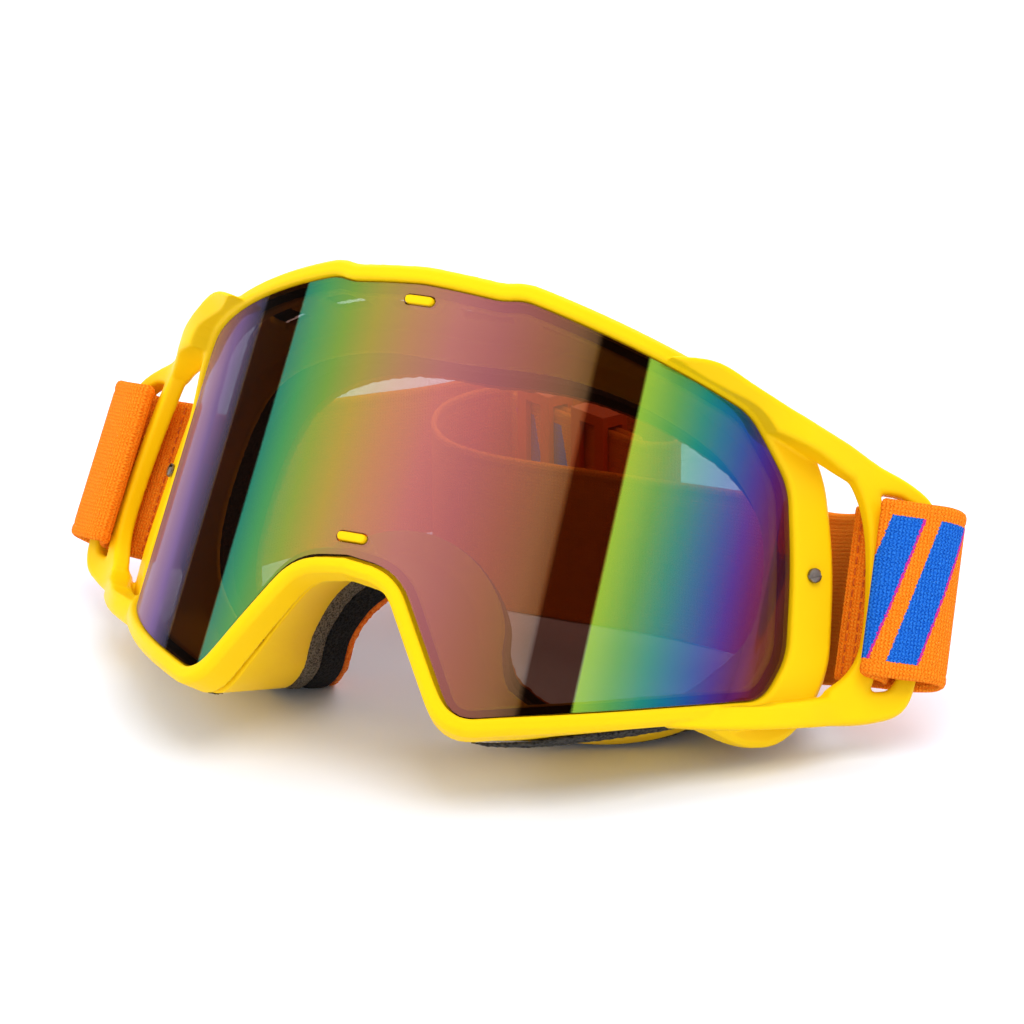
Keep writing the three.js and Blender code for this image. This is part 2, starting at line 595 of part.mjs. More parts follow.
// ---------------------------------------------------------------- the assembly
makeOuterFrame();
makeLens();
makeLensSeal();
makeFaceFrame();
makeVentFoam('top_vent_foam', -0.1, 0.1, 0.46, 1.8);
[['left', (share) => share], ['right', (share) => 1 - share]].forEach(([name, turn]) => {
  makeVentFoam(`bottom_vent_foam_${name}`, turn(0.232), turn(0.33), 0.3, 1.2);
  makeVentFoam(`side_vent_foam_${name}`, turn(0.186), turn(0.22), 0.9, 1.4);
});
const black = FOAM_GAP + FOAM.grey + FOAM_GAP;
const fleece = black + FOAM.black + FOAM_GAP;
makeFaceLayer('face_foam_grey', FOAM_GAP, FOAM_GAP + FOAM.grey, 'grey', 0.2);
makeFaceLayer('face_foam_black', black, black + FOAM.black, 'black', 0.7);
makeFaceLayer('face_fleece', fleece, fleece + FOAM.fleece, 'fleece', 1.2);
[['left', 1], ['right', -1]].forEach(([name, side]) => {
  makeSideScrew(`side_screw_${name}`, side);
  makeScrewClip(`screw_clip_${name}`, side);
});

goggles.position.z = -TABLE;
makeWebbing('strap_webbing_left', 1, frontRun());
makeWebbing('strap_webbing_right', -1, backRun());
Object.entries(SLIDER_PLACES).forEach(([name, along]) => makeSlider(name, along));

// The origin is under the middle of the whole object, on the table.
assembly.updateMatrixWorld(true);
const bounds = new THREE.Box3().setFromObject(assembly, true);
assembly.position.y = -(bounds.min.y + bounds.max.y) / 2;

export default assembly;
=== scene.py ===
"""Motocross goggles on a table: the looks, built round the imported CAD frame.

The outlines repeat the part's own dimensions (millimetres, in the goggles' upright frame G: x to the
wearer's left, y towards the face, z up, origin on the lens), sampled finer and rounded.
"""
import math

import bmesh
import bpy
import numpy as np
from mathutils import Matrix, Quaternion, Vector, noise

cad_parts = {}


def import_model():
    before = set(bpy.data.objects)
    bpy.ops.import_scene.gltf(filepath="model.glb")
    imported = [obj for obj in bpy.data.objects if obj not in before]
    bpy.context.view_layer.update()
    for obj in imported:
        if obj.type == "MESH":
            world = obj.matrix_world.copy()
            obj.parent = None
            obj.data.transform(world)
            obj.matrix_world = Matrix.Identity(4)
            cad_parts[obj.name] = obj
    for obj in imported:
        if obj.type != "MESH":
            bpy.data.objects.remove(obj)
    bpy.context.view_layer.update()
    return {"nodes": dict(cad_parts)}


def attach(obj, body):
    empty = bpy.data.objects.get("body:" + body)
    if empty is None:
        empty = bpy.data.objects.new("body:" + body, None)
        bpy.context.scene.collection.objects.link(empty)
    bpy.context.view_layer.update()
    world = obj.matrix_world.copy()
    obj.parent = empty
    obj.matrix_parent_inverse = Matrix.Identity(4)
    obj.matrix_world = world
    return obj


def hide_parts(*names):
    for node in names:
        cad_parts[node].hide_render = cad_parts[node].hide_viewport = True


scene = bpy.context.scene
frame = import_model()
NODES = frame["nodes"]
MM = 0.001

# ---------------------------------------------------------------- dimensions, as in the part
LEAN = math.radians(36)
TABLE = -73.0
SHIFT_Y = -54.136
LENS_RADIUS = 80.0
LENS_THICKNESS = 1.0
LENS_GAP = 0.35
NOSE_GAP = 0.9
RIM_WIDTH = 4.1
PLATE_WIDTH = 10.8
RIM_LIP = 0.9
RIM_CROWN = 1.5
RIM_DEPTH = 6.2
LEDGE_TOP = -2.3
LEDGE_WIDTH = 2.4
PEG = {"length": 6.8, "width": 1.9, "proud": 0.8, "heights": (26.7, -26.4)}
CLEAR = 0.3
FOAM_GAP = 0.5
WALL = 1.8
FLANGE = {"wide": 7.2, "narrow": 5.2}
FOAM = {"grey": 4.7, "black": 8.4, "fleece": 1.9, "low_rise": 0.3}
NOSE_PINCH = {"shift": 7.0, "from": 5.0, "to": 15.0}   # the soft foam at the nose is pushed to one side
STRAP_WIDTH = 38.0
SCREW = {"arc": 103.0, "height": -4.5, "head": 3.2, "shank": 1.8}

LENS_OUTLINE = [
    (18, 29.4, 2.2), (22.5, 30.6, 2.2), (76.3, 22.3, 3.5), (91.3, 11.2, 4), (97.8, -4, 8), (102.3, -23, 4),
    (99.4, -33.4, 4), (79, -41.3, 12), (57.5, -50, 12), (31.2, -59.2, 5), (12.4, -31.6, 6.5),
]
LENS_TOP = 30.2
LENS_NOSE = -30.2

FACE_STATIONS = [
    (0, 31.0, 0, 30, 30.2), (22, 31.6, 24, 32.5, 30.8), (50, 27.8, 45, 40, 27.6), (74, 24.6, 61, 50, 20.5),
    (91, 14, 70.5, 58.5, 8.5), (100, 0, 74, 62.5, -7), (103.4, -20, 73, 63.5, -21),
    (100, -35.6, 67, 61.5, -32.5),
    (80, -43.4, 57.5, 60.5, -42), (59, -52, 47, 57, -47.6), (42, -58.6, 37.5, 52.5, -50.2),
    (30.2, -60.4, 29, 45, -51.2), (23.2, -52, 22.8, 38, -48), (17.6, -43, 20, 32.8, -41),
    (11.4, -35.2, 16, 31.2, -31.5), (5.5, -33.4, 8.5, 30.2, -25), (0, -33.2, 0, 30, -23),
]

SHEET_PLAN = [
    (40, 8), (54, 18), (66, 28), (75, 38.5), (82, 50), (87.5, 58.5), (92.5, 62.5), (99, 65.8), (108, 69.5),
]
SHEET_TILT = (-0.08, -0.12)
OUTRIGGER_FRONT = 2.0
LOWER_SINK = {"most": 4.4, "from": 34.0, "to": 64.0}
ARM_RAMP = {"drop": 3.6, "from": 34.0, "to": 54.0}
OUTRIGGER_LOOP = [
    (18, 25, 1.8, 3), (28, 26, 2.8, 6), (36, 24.2, 3, 8), (45.4, 22.6, 2.9, 8.5), (56, 21.6, 2.8, 6),
    (65, 20.2, 3.2, 3.4), (72, 19, 2.9, 2.4), (79, 18.4, 1.9, 2), (84.3, 15.3, 1.8, 2), (85.3, 8, 1.8, 2),
    (85.4, -6, 1.8, 2), (84.9, -18, 1.9, 2), (82.6, -25.6, 2.6, 2), (77, -28.6, 3.1, 2.4),
    (69, -31.6, 3, 3.4),
    (60, -35.2, 2.7, 3.6), (50, -38.8, 2.6, 3.6), (40, -42, 2.4, 3.6), (30, -45, 1.8, 3),
]
OUTRIGGER_BAR = [
    (67.6, 19.8, 3, 2), (71.4, 14.6, 2.5, 2), (73.6, 8, 2, 2), (75.2, -2.2, 1.9, 2), (75.9, -11.3, 1.9, 2),
    (75.6, -19, 2.2, 2), (73.6, -25.2, 3, 2), (69.4, -30.4, 3.4, 2),
]

STRAP_CENTRE = -4.2
FACING_SPAN = 9.5  # the wrap's span where the printed face looks forward
STRAP_WRAP = [
    (83.6, 66.9, 0), (87.8, 66.8, 0), (92.2, 66.6, 0), (95.3, 65, 0), (96.1, 62.6, 0), (95.2, 60.4, 0),
    (93.2, 58.7, 0), (93.2, 56.9, 0), (96, 56.8, 0), (101, 59.6, 0.8), (105.6, 63.8, 2), (107, 68.2, 2.4),
    (104.4, 71.2, 2), (98.8, 71, 1), (92.8, 69.3, 0.3), (87.4, 69.7, 0), (82.6, 72.4, 0),
]
FRONT_RUN = [
    (70, 69, 4), (56, 77.5, 1.2), (40, 81, 0.1), (20, 81.5, 0.1), (0, 81, 0.1), (-18, 81.5, 0.1),
    (-31, 86, 0.4),
    (-39.5, 95, 1), (-42.4, 106, 2), (-38.4, 116.4, 2.8),
]
BACK_RUN = [
    (-76, 74, 4.5), (-71, 88, 3.2), (-63, 102, 2), (-54, 117, 1.2), (-45.5, 130.5, 1), (-36.5, 138.4, 1.2),
    (-27, 138.6, 2), (-16, 130.6, 3),
]
OVERLAP = {"start": (-29, 119.5), "end": (16, 98), "foot": 3.2, "spacing": 2.3, "return": 10, "tail": 46}


# ---------------------------------------------------------------- camera
CAMERA = {"place": (0.37155, -0.7272, 0.32364), "facing": (-0.42675, 0.83964, -0.33287), "roll": -0.00722,
          "focal_mm": 135.7, "sensor_mm": 36}


def make_camera():
    data = bpy.data.cameras.new("camera")
    data.lens = CAMERA["focal_mm"]
    data.sensor_width = CAMERA["sensor_mm"]
    data.clip_start = 0.01
    camera = bpy.data.objects.new("camera", data)
    scene.collection.objects.link(camera)
    camera.location = CAMERA["place"]
    facing = Vector(CAMERA["facing"]).to_track_quat("-Z", "Y")
    camera.rotation_euler = (facing @ Quaternion((0, 0, 1), CAMERA["roll"])).to_euler()
    scene.camera = camera


# ---------------------------------------------------------------- small helpers
def lerp(a, b, t):
    return a + (b - a) * t


def smooth(value, low, high):
    t = min(max((value - low) / (high - low), 0.0), 1.0)
    return t * t * (3 - 2 * t)


def unit(v):
    return v / np.linalg.norm(v)


def vec(*values):
    return np.array(values, float)


def leaned(p):
    """A point of the goggles' frame G on the table, still in millimetres and before the final shift."""
    c, s = math.cos(LEAN), math.sin(LEAN)
    return vec(p[0], c * p[1] + s * p[2], -TABLE - s * p[1] + c * p[2])


def placed(p):
    """A millimetre point on the table, in the row frame in metres."""
    return (p[0] * MM, (p[1] + SHIFT_Y) * MM, p[2] * MM)


def world(p):
    return placed(leaned(p))


class Curve:
    """A centripetal Catmull-Rom curve through points, evaluated at a share of its spans."""

    def __init__(self, points, closed=False):
        self.p = [np.array(q, float) for q in points]
        self.closed = closed

    def at(self, t):
        n = len(self.p)
        if self.closed:
            place = (t % 1.0) * n
            i = int(place) % n
            w = place - int(place)
        else:
            place = min(max(t, 0.0), 1.0) * (n - 1)
            i = min(int(place), n - 2)
            w = place - i
        p1, p2 = self.p[i], self.p[(i + 1) % n]
        p0 = self.p[i - 1] if self.closed or i > 0 else 2 * self.p[0] - self.p[1]
        p3 = self.p[(i + 2) % n] if self.closed or i + 2 < n else 2 * self.p[-1] - self.p[-2]
        d0, d1, d2 = (max(np.linalg.norm(b - a), 1e-6) ** 0.5 for a, b in ((p0, p1), (p1, p2), (p2, p3)))
        m1 = ((p1 - p0) / d0 - (p2 - p0) / (d0 + d1) + (p2 - p1) / d1) * d1
        m2 = ((p2 - p1) / d1 - (p3 - p1) / (d1 + d2) + (p3 - p2) / d2) * d1
        return p1 + m1 * w + (3 * (p2 - p1) - 2 * m1 - m2) * w * w + (2 * (p1 - p2) + m1 + m2) * w ** 3

    def tangent(self, t):
        return unit(self.at(t + 1e-4) - self.at(t - 1e-4)) if self.closed else \
            unit(self.at(min(t + 1e-4, 1)) - self.at(max(t - 1e-4, 0)))


def new_object(name, verts, faces, smooth_shaded=True):
    mesh = bpy.data.meshes.new(name)
    mesh.from_pydata([tuple(v) for v in verts], [], faces)
    mesh.update()
    bm = bmesh.new()
    bm.from_mesh(mesh)
    bmesh.ops.recalc_face_normals(bm, faces=bm.faces)
    bm.to_mesh(mesh)
    bm.free()
    if smooth_shaded:
        mesh.shade_smooth()
    obj = bpy.data.objects.new(name, mesh)
    scene.collection.objects.link(obj)
    return obj


def loft(rings, closed):
    """Vertices and quads that skin equal rings. An open loft has end caps."""
    size = len(rings[0])
    verts = [v for ring in rings for v in ring]
    faces = []
    last = len(rings) if closed else len(rings) - 1
    for i in range(last):
        n = (i + 1) % len(rings)
        for j in range(size):
            k = (j + 1) % size
            faces.append((i * size + j, n * size + j, n * size + k, i * size + k))
    if not closed:
        faces.append(tuple(range(size)))
        faces.append(tuple(range(len(verts) - 1, len(verts) - 1 - size, -1)))
    return verts, faces


def merged(name, shells):
    verts, faces = [], []
    for shell_verts, shell_faces in shells:
        base = len(verts)
        verts += shell_verts
        faces += [tuple(base + i for i in face) for face in shell_faces]
    return new_object(name, verts, faces)


def apply_modifiers(obj):
    graph = bpy.context.evaluated_depsgraph_get()
    mesh = bpy.data.meshes.new_from_object(obj.evaluated_get(graph))
    obj.modifiers.clear()
    obj.data = mesh
    mesh.shade_smooth()
    return obj


def fused(obj, voxel, rounds):
    """Joins overlapping shells into one skin and rounds its edges, as a moulding has them."""
    remesh = obj.modifiers.new("fuse", "REMESH")
    remesh.mode = "VOXEL"
    remesh.voxel_size = voxel * MM
    soften = obj.modifiers.new("round", "SMOOTH")
    soften.factor = 0.5
    soften.iterations = rounds
    return apply_modifiers(obj)


def cut(obj, cutters):
    for cutter in cutters:
        tool = obj.modifiers.new("cut", "BOOLEAN")
        tool.operation = "DIFFERENCE"
        tool.solver = "EXACT"
        tool.object = cutter
    apply_modifiers(obj)
    for cutter in cutters:
        bpy.data.objects.remove(cutter)
    return obj


def mirrored(rings):
    return [[vec(-p[0], p[1], p[2]) for p in ring] for ring in rings]


def in_world(rings):
    return [[world(p) for p in ring] for ring in rings]


# ---------------------------------------------------------------- the wrap of the lens
FLARE = math.radians(50)
FLARE_FROM = 93.0
FLARE_TO = 104.0
STEP = 0.5


def heading_at(arc):
    around = min(arc, FLARE_FROM) / LENS_RADIUS
    return lerp(around, min(around, FLARE), smooth(arc, FLARE_FROM, FLARE_TO))


PLAN = [vec(0, 0)]
for cell in range(270):
    turn = heading_at(cell * STEP + STEP / 2)
    PLAN.append(PLAN[-1] + vec(math.cos(turn), math.sin(turn)) * STEP)


def on_wrap(arc, height, out):
    side = -1 if arc < 0 else 1
    along = abs(arc) / STEP
    i = int(along)
    plan = lerp(PLAN[i], PLAN[i + 1], along - i)
    heading = heading_at(abs(arc))
    return vec(side * (plan[0] + math.sin(heading) * out), plan[1] - math.cos(heading) * out, height)


def half_outline(count):
    points = [vec(0, LENS_TOP)] + [vec(x, y) for x, y, _ in LENS_OUTLINE] + [vec(0, LENS_NOSE)]
    line = [points[0]]
    for i, (_, _, size) in enumerate(LENS_OUTLINE):
        corner = points[i + 1]
        enter = corner + unit(points[i] - corner) * size
        leave = corner + unit(points[i + 2] - corner) * size
        for k in range(13):
            t = k / 12
            line.append(enter * (1 - t) ** 2 + corner * 2 * t * (1 - t) + leave * t * t)
    line.append(points[-1])
    lengths = np.concatenate([[0], np.cumsum([np.linalg.norm(b - a) for a, b in zip(line, line[1:])])])
    marks = np.linspace(0, lengths[-1], count + 1)
    return [vec(np.interp(m, lengths, [p[0] for p in line]), np.interp(m, lengths, [p[1] for p in line]))
            for m in marks]


HALF = half_outline(240)
LOOP = HALF + [vec(-p[0], p[1]) for p in HALF[-2:0:-1]]
REACH = 4                                        # neighbours that a normal is taken over
NORMALS = []
for i in range(len(LOOP)):
    along = unit(LOOP[(i + REACH) % len(LOOP)] - LOOP[i - REACH])
    NORMALS.append(vec(-along[1], along[0]))


def lens_ring(section):
    rings = []
    for edge, normal in zip(LOOP, NORMALS):
        points = [(edge + normal * offset, out) for offset, out in section(edge)]
        rings.append([on_wrap(p[0], p[1], out) for p, out in points])
    return rings


def stadium(length, width, front, back, height, steps=14):
    """A slab with round ends, length along x, between two y positions."""
    half = (length - width) / 2
    outline = []
    for sign in (1, -1):
        for k in range(steps + 1):
            a = -math.pi / 2 + math.pi * k / steps
            outline.append((sign * (half + math.cos(a) * width / 2), sign * math.sin(a) * width / 2))
    return loft([[world((x, y, height + z)) for x, z in outline] for y in (front, back)], False)


# ---------------------------------------------------------------- materials
def srgb(red, green, blue):
    """An 8-bit display colour as scene-linear RGBA."""
    def linear(c):
        c /= 255
        return c / 12.92 if c <= 0.04045 else ((c + 0.055) / 1.055) ** 2.4
    return (linear(red), linear(green), linear(blue), 1.0)


class Shader:
    """A node material with short calls for adding and linking nodes."""

    def __init__(self, name, **sockets):
        self.mat = bpy.data.materials.new(name)
        self.mat.use_nodes = True
        self.tree = self.mat.node_tree
        self.bsdf = self.tree.nodes["Principled BSDF"]
        self.surface = self.tree.nodes["Material Output"].inputs["Surface"]
        for key, value in sockets.items():
            self.bsdf.inputs[key.replace("_", " ")].default_value = value

    def put(self, socket, value):
        if isinstance(value, bpy.types.NodeSocket):
            self.tree.links.new(value, socket)
        else:
            socket.default_value = value

    def node(self, kind, *inputs, out=0, named=None, **settings):
        made = self.tree.nodes.new("ShaderNode" + kind)
        for key, value in settings.items():
            setattr(made, key, value)
        for place, value in enumerate(inputs):
            if value is not None:
                self.put(made.inputs[place], value)
        for key, value in (named or {}).items():
            self.put(made.inputs[key], value)
        return made.outputs[out]

    def math(self, operation, *inputs):
        return self.node("Math", *inputs, operation=operation)

    def noise(self, scale, detail=3, where=None, out=0, kind="Noise"):
        made = self.tree.nodes.new(f"ShaderNodeTex{kind}")
        made.inputs["Scale"].default_value = scale
        if kind == "Noise":
            made.inputs["Detail"].default_value = detail
        self.put(made.inputs["Vector"], where or self.position())
        return made.outputs[out]

    def position(self):
        return self.node("TexCoord", out=3)

    def ramp(self, value, stops, mode="LINEAR"):
        made = self.tree.nodes.new("ShaderNodeValToRGB")
        made.color_ramp.interpolation = mode
        elements = made.color_ramp.elements
        while len(elements) < len(stops):
            elements.new(0.5)
        for element, (place, colour) in zip(elements, stops):
            element.position = place
        for element, (place, colour) in zip(elements, stops):
            element.color = colour
        self.put(made.inputs[0], value)
        return made

    def mix(self, share, first, second):
        made = self.tree.nodes.new("ShaderNodeMix")
        made.data_type = "RGBA"
        self.put(made.inputs["Factor"], share)
        self.put(made.inputs[6], first)
        self.put(made.inputs[7], second)
        return made.outputs[2]

    def bump(self, height, distance, strength=1.0):
        made = self.tree.nodes.new("ShaderNodeBump")
        made.inputs["Strength"].default_value = strength
        made.inputs["Distance"].default_value = distance
        self.put(made.inputs["Height"], height)
        self.put(self.bsdf.inputs["Normal"], made.outputs[0])

    def colour(self, value):
        self.put(self.bsdf.inputs["Base Color"], value)

    def roughness(self, value):
        self.put(self.bsdf.inputs["Roughness"], value)


def yellow_plastic():
    s = Shader("satin_yellow", Specular_IOR_Level=0.09)
    broad = s.noise(35, 2)
    s.colour(s.ramp(broad, [(0.3, srgb(249, 200, 8)), (0.7, srgb(252, 207, 10))]).outputs[0])
    s.roughness(s.ramp(broad, [(0.3, (0.38,) * 3 + (1,)), (0.7, (0.46,) * 3 + (1,))]).outputs[0])
    s.bump(s.noise(2600, 2), 0.00003, 0.5)
    return s.mat


def open_foam(name, dark, light, cell, depth):
    s = Shader(name, Roughness=1.0, Specular_IOR_Level=0.1)
    pits = s.noise(1 / (cell * MM), kind="Voronoi")
    speckle = s.noise(0.7 / (cell * MM), 4)
    height = s.math("MULTIPLY", s.math("ADD", pits, speckle), 0.6)
    # the colour follows the bump's height, darker in the cell pits: painted shade in the pores
    s.colour(s.ramp(height, [(0.35, dark), (0.75, light)]).outputs[0])
    s.bump(height, depth * MM)
    return s.mat


def orange_fleece():
    s = Shader("orange_fleece", Roughness=1.0, Specular_IOR_Level=0.1, Sheen_Weight=0.6, Sheen_Roughness=0.4)
    s.bsdf.inputs["Sheen Tint"].default_value = srgb(255, 170, 110)
    tufts = s.noise(1500, 4)
    s.colour(s.ramp(tufts, [(0.3, srgb(214, 84, 14)), (0.65, srgb(255, 134, 50))]).outputs[0])
    s.bump(tufts, 0.0006)
    return s.mat


def dark_seal():
    s = Shader("seal_foam", Roughness=0.95)
    s.colour(s.ramp(s.noise(1200, 3), [(0.3, srgb(20, 14, 8)), (0.7, srgb(52, 34, 18))]).outputs[0])
    return s.mat


def steel(name, tone):
    s = Shader(name, Metallic=1.0)
    worn = s.noise(900, 4)
    s.colour(s.ramp(worn, [(0.3, tuple(c * 0.6 for c in tone[:3]) + (1,)), (0.7, tone)]).outputs[0])
    s.roughness(s.ramp(worn, [(0.3, (0.25,) * 3 + (1,)), (0.7, (0.45,) * 3 + (1,))]).outputs[0])
    s.bump(s.noise(3000, 2), 0.00003, 0.4)
    return s.mat


def moulded_orange():
    s = Shader("moulded_orange", Specular_IOR_Level=0.25)
    grain = s.noise(1800, 3)
    s.colour(s.ramp(grain, [(0.3, srgb(222, 84, 4)), (0.7, srgb(240, 104, 10))]).outputs[0])
    s.roughness(s.ramp(grain, [(0.3, (0.35,) * 3 + (1,)), (0.7, (0.55,) * 3 + (1,))]).outputs[0])
    s.bump(grain, 0.00005, 0.5)
    return s.mat


PRINT = {"repeat": 7.4, "bar": 1.04}  # centimetres along the webbing: one block of bars, one bar with its gap


def knit(name, first):
    """Knitted elastic webbing, printed from a distance on. Its UV map is in centimetres: along, across."""
    s = Shader(name, Roughness=0.95, Specular_IOR_Level=0.08)
    uv = s.node("UVMap")
    split = s.tree.nodes.new("ShaderNodeSeparateXYZ")
    s.put(split.inputs[0], uv)
    u, v = split.outputs[0], split.outputs[1]
    jitter = s.math("MULTIPLY", s.math("SUBTRACT", s.noise(16, 2, uv), 0.5), 0.09)
    u = s.math("ADD", u, jitter)
    # rows of slanted stitches: each column of loops leans the other way
    column = s.math("PINGPONG", v, 0.042)
    row = s.math("FRACT", s.math("DIVIDE", s.math("ADD", u, s.math("MULTIPLY", column, 0.8)), 0.078))
    loops = s.math("SINE", s.math("MULTIPLY", row, math.pi))
    ribs = s.math("SINE", s.math("MULTIPLY", s.math("FRACT", s.math("DIVIDE", v, 0.084)), math.pi))
    ribbed = s.math("ADD", s.math("MULTIPLY", ribs, 0.5), 0.5)
    relief = s.math("MULTIPLY", s.math("POWER", loops, 0.7), ribbed)
    heather = s.noise(26, 5, uv)
    # colour follows the stitch relief and the heather: darker where the relief is low, painted shade in the
    # knit's grooves, together with the yarn's own heathered tone
    heather_and_groove_shade = s.math("ADD", s.math("MULTIPLY", relief, 0.34), s.math("MULTIPLY", heather, 0.78))
    oranges = [(0.2, srgb(226, 88, 6)), (0.5, srgb(250, 122, 14)), (0.8, srgb(255, 154, 42))]
    ground = s.ramp(heather_and_groove_shade, oranges).outputs[0]
    if first is not None:
        # blocks of two slanted bars, a magenta yarn along the trailing side of each
        frayed = s.math("MULTIPLY", s.math("SUBTRACT", s.noise(30, 2, uv), 0.5), 0.07)
        across = s.math("SUBTRACT", v, STRAP_WIDTH / 20)
        slant = s.math("ADD", s.math("SUBTRACT", u, s.math("MULTIPLY", across, 0.26)), frayed)
        since = s.math("SUBTRACT", slant, first)
        block = s.math("MULTIPLY", s.math("FRACT", s.math("DIVIDE", since, PRINT["repeat"])), PRINT["repeat"])
        place = s.math("MULTIPLY", s.math("FRACT", s.math("DIVIDE", block, PRINT["bar"])), PRINT["bar"])
        inside = s.math("LESS_THAN", s.math("ADD", s.math("ABSOLUTE", across), frayed), 1.56)
        inside = s.math("MULTIPLY", inside, s.math("LESS_THAN", block, 2 * PRINT["bar"]))
        inside = s.math("MULTIPLY", inside, s.math("GREATER_THAN", slant, first))
        blue = s.ramp(heather_and_groove_shade, [(0.2, srgb(4, 48, 140)), (0.5, srgb(14, 88, 196)), (0.85, srgb(52, 132, 230))])
        fringe = s.math("MULTIPLY", inside, s.math("LESS_THAN", place, 0.7))
        bars = s.math("MULTIPLY", inside, s.math("LESS_THAN", place, 0.65))
        ground = s.mix(fringe, ground, srgb(208, 44, 150))
        ground = s.mix(bars, ground, blue.outputs[0])
    s.colour(ground)
    s.bump(s.math("ADD", s.math("MULTIPLY", relief, 0.7), s.math("MULTIPLY", heather, 0.9)), 0.00028)
    return s.mat


def thread():
    s = Shader("sewing_thread", Roughness=0.8)
    s.colour(s.ramp(s.noise(2500, 2), [(0.3, srgb(190, 74, 6)), (0.7, srgb(236, 112, 20))]).outputs[0])
    return s.mat


# Mirror coating, with painted reflection: where each colour lies along the lens, in millimetres of arc, and
# how much it covers. The colours are painted reflections of the studio's softboxes on the mirrored lens,
# fixed in place; the dark bands are painted reflections of the dark studio, and the dark brown at the right
# end is painted shade at the lens's border.
PAINTED_REFLECTION_BANDS = [
    (-100, (164, 132, 138), 0.95), (-72, (158, 124, 138), 0.95), (-63, (138, 100, 126), 0.94),
    (-56, (112, 82, 130), 0.96), (-50, (78, 62, 96), 0.95), (-45.6, (44, 42, 62), 0.9),
    (-45, (30, 22, 18), 0.2),
    (-31.4, (24, 14, 6), 0.14), (-31, (44, 132, 108), 0.84), (-25, (76, 156, 90), 0.84),
    (-17, (124, 164, 68), 0.82), (-9, (172, 158, 72), 0.8), (0, (190, 138, 98), 0.79),
    (10, (192, 118, 116), 0.78), (20, (176, 102, 106), 0.76), (29, (160, 96, 84), 0.74),
    (37, (136, 94, 66), 0.7), (41.2, (104, 76, 48), 0.62), (41.7, (40, 18, 6), 0.12),
    (52.4, (36, 14, 6), 0.12),
    (52.8, (150, 196, 62), 0.83), (60, (92, 166, 84), 0.84), (66.5, (34, 142, 124), 0.85),
    (72, (20, 116, 150), 0.85), (77.5, (34, 84, 158), 0.85), (82.5, (66, 50, 148), 0.84),
    (88, (92, 30, 108), 0.82), (94, (110, 34, 56), 0.76), (99, (96, 42, 20), 0.66),
]
ARC_SPAN = 104.0


def painted_reflection_coat():
    """The lens's front: a mirror coating over what shows through, its colours painted reflections fixed along
    the arc. The UV map's u is the share of the arc.
    """
    s = Shader("painted_reflection_coat", Roughness=0.3, Specular_IOR_Level=0.1)
    uv = s.node("UVMap")
    split = s.tree.nodes.new("ShaderNodeSeparateXYZ")
    s.put(split.inputs[0], uv)
    stops = [((arc + ARC_SPAN) / (2 * ARC_SPAN), srgb(*colour)[:3] + (cover,))
             for arc, colour, cover in PAINTED_REFLECTION_BANDS]
    # the painted reflection: colour and cover by the share of the arc
    painted_reflection_ramp = s.ramp(split.outputs[0], stops)
    s.colour(painted_reflection_ramp.outputs[0])
    mirror = s.node("BsdfAnisotropic", painted_reflection_ramp.outputs[0], 0.05)
    solid = s.node("MixShader", 0.4, mirror, s.bsdf.outputs[0])
    coated = s.math("MULTIPLY", s.math("SUBTRACT", painted_reflection_ramp.outputs[1], 0.2), 1.5)
    tint = s.mix(coated, (0.15, 0.08, 0.06, 1), (1.0, 1.0, 1.0, 1))
    clear = s.node("BsdfTransparent", tint)
    s.put(s.surface, s.node("MixShader", painted_reflection_ramp.outputs[1], clear, solid))
    return s.mat


def clear_back():
    s = Shader("clear_back", Roughness=0.06)
    s.colour(s.ramp(s.noise(60, 2), [(0.4, srgb(120, 96, 80)), (0.6, srgb(140, 112, 92))]).outputs[0])
    clear = s.node("BsdfTransparent", (1, 1, 1, 1))
    s.put(s.surface, s.node("MixShader", 0.02, clear, s.bsdf.outputs[0]))
    return s.mat


def pale_floor():
    s = Shader("pale_floor", Roughness=0.6, Specular_IOR_Level=0.2)
    s.colour(s.ramp(s.noise(3, 2), [(0.3, (0.84, 0.88, 0.98, 1)), (0.7, (0.85, 0.89, 0.99, 1))]).outputs[0])
    return s.mat


MATS = {}


def finish_piece(obj, material, body, slot, *nodes):
    if material:
        obj.data.materials.clear()
        obj.data.materials.append(MATS[material])
    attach(obj, body)
    if nodes:
        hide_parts(*nodes)
    return obj


# ---------------------------------------------------------------- outer frame
def rim_width(edge):
    beside = smooth(abs(edge[0]), 68, 92) * smooth(edge[1], -42, -33)
    return lerp(RIM_WIDTH, PLATE_WIDTH, beside)


def at_nose(edge):
    return (1 - smooth(abs(edge[0]), 26, 32)) * (1 - smooth(edge[1], -30, -26))


def rim_section(edge):
    width = rim_width(edge)
    wall = lerp(LENS_GAP, NOSE_GAP, at_nose(edge))
    depth = lerp(RIM_DEPTH, 3.6, smooth(width, 5, PLATE_WIDTH))
    return [
        (wall, RIM_LIP), (wall + 0.7, RIM_CROWN), (width - 1.1, RIM_CROWN - 0.1), (width, 0.2),
        (width, -depth), (width - 2.2, -depth), (min(width - 2.6, 0.2), -4.3), (-LEDGE_WIDTH, -4.1),
        (-LEDGE_WIDTH, LEDGE_TOP), (wall, LEDGE_TOP),
    ]


SHEET = Curve([(x, y, 0) for x, y in SHEET_PLAN])
SHEET_SHARES = np.linspace(0, 1, 401)
SHEET_POINTS = [SHEET.at(t) for t in SHEET_SHARES]
SHEET_LENGTHS = np.concatenate(
    [[0], np.cumsum([np.linalg.norm(b - a) for a, b in zip(SHEET_POINTS, SHEET_POINTS[1:])])])


def on_sheet(arc, height, out):
    t = float(np.interp(arc, SHEET_LENGTHS, SHEET_SHARES))
    point, along = SHEET.at(t), SHEET.tangent(t)
    return vec(point[0] + SHEET_TILT[0] * height + along[1] * out,
               point[1] + SHEET_TILT[1] * height - along[0] * out, height)


